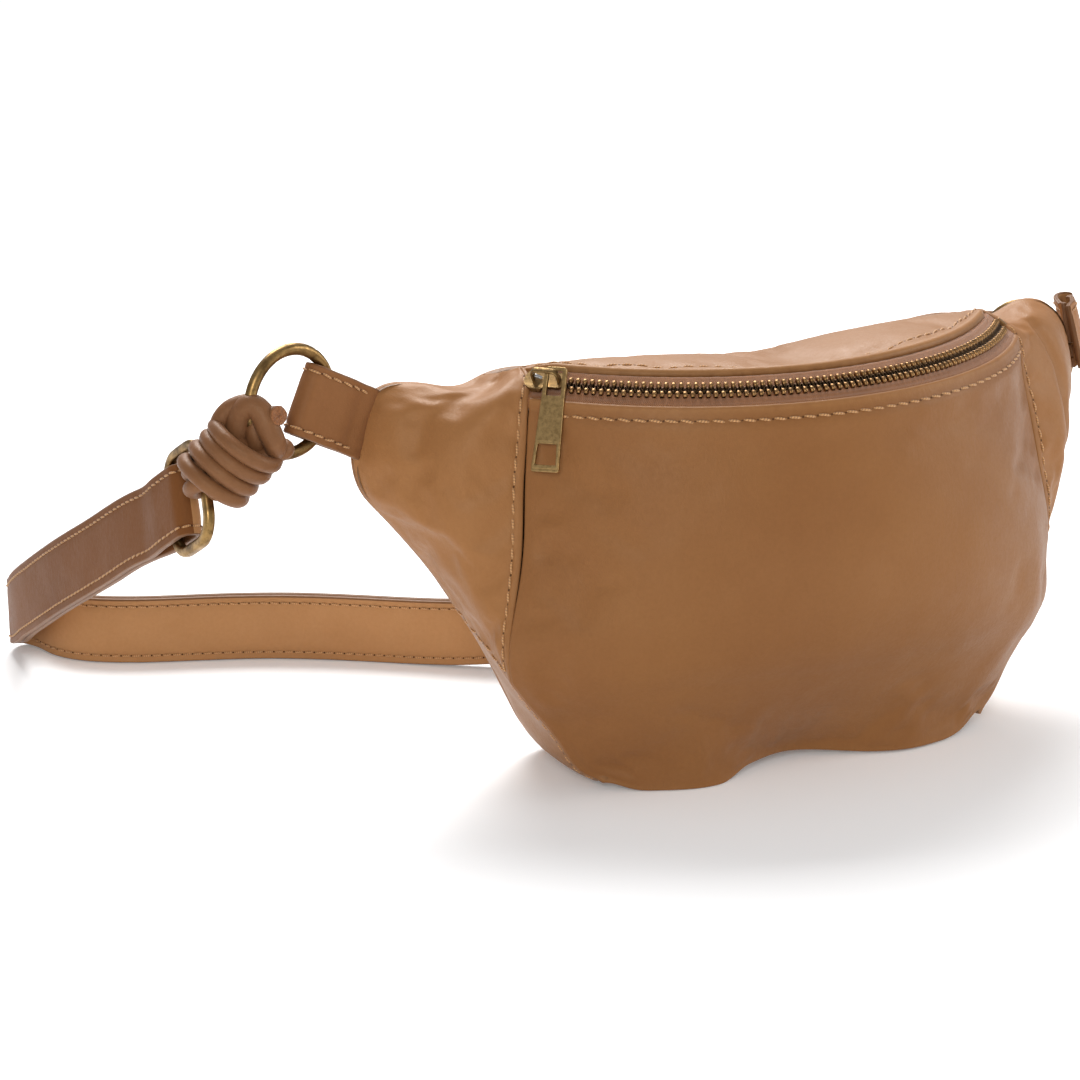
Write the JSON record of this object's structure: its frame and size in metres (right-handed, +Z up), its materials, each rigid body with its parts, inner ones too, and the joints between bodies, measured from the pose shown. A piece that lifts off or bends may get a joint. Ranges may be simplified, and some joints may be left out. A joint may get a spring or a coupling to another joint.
{
  "type": "waist pack",
  "caption": "Padded leather waist pack with a curved top zip and pull tab, side wings, ring fittings, a corded strap loop and a webbing-width leather waist strap with an adjuster.",
  "frame": {"origin": "bottom edge of the flat back panel at mid-width, on the surface the pack stands on", "axes": "+X towards the wearer's left as the back panel faces the wearer (the right-hand wing seen from the front), +Y out of the back panel towards the wearer, +Z up; the padded front faces -Y"},
  "size_m": [0.3875, 0.3063, 0.1646],
  "materials": {
    "leather": "waxed full-grain",
    "strap_leather": "smooth with burnished edges",
    "strap_lining": "pale suede side",
    "lining": "plain cotton",
    "padding": "felt",
    "board": "matte",
    "zip_tape": "herringbone tape",
    "zip_metal": "antique brass",
    "hardware": "antique brass",
    "spring": "brushed"
  },
  "bodies": {
    "bag": {"front_panel": "leather", "right_wing": "leather", "left_wing": "leather", "left_gusset": "leather", "right_gusset": "leather", "base_panel": "leather", "top_panel": "leather", "back_panel": "leather", "back_padding": "padding", "lining_back": "lining", "lining_front": "lining", "lining_sides": "lining", "lining_base": "lining", "lining_top": "lining", "base_board": "board", "inner_pocket": "lining", "zip_tape_front": "zip_tape", "zip_tape_rear": "zip_tape", "zip_teeth_front": "zip_metal", "zip_teeth_rear": "zip_metal", "zip_end_stops": "zip_metal", "left_tab": "leather", "right_ring": "hardware", "right_tab": "leather"},
    "slider": {"zip_slider_body": "zip_metal", "zip_bridge": "zip_metal", "zip_lock_spring": "spring"},
    "pull": {"zip_pull": "zip_metal"},
    "strap": {"strap_face": "strap_leather", "strap_backing": "strap_lining", "strap_end_loop": "strap_leather", "strap_tail": "strap_leather", "strap_loop": "hardware", "knot_cord": "strap_leather"},
    "ring": {"round_ring": "hardware"},
    "adjuster": {"strap_adjuster": "hardware"}
  },
  "joints": [
    {"name": "slider_travel", "type": "hinge", "parent": "bag", "child": "slider", "pos_m": [0, 0.0358, 0.1459], "axis": [0, 0, 1], "range_deg": [0, 100], "deforming": ["zip_teeth_front", "zip_teeth_rear"]},
    {"name": "pull_swing", "type": "hinge", "parent": "slider", "child": "pull", "pos_m": [-0.09287, -0.04317, 0.14998], "axis": [-0.6212, 0.7837, 0], "range_deg": [0, 48]},
    {"name": "strap_lift", "type": "hinge", "parent": "bag", "child": "strap", "pos_m": [-0.16213, -0.0081, 0.1443], "axis": [0.9836, 0.1569, -0.0891], "range_deg": [0, 80], "deforming": ["left_tab", "strap_end_loop"]},
    {"name": "ring_spin", "type": "hinge", "parent": "strap", "child": "ring", "pos_m": [-0.1796, -0.0132, 0.1443], "axis": [0.28, -0.96, 0], "continuous": true},
    {"name": "adjuster_slide", "type": "slide", "parent": "strap", "child": "adjuster", "axis": [0.9768, -0.2143, 0.0005], "range_m": [-0.01, 0.025], "deforming": ["strap_tail"]}
  ]
}
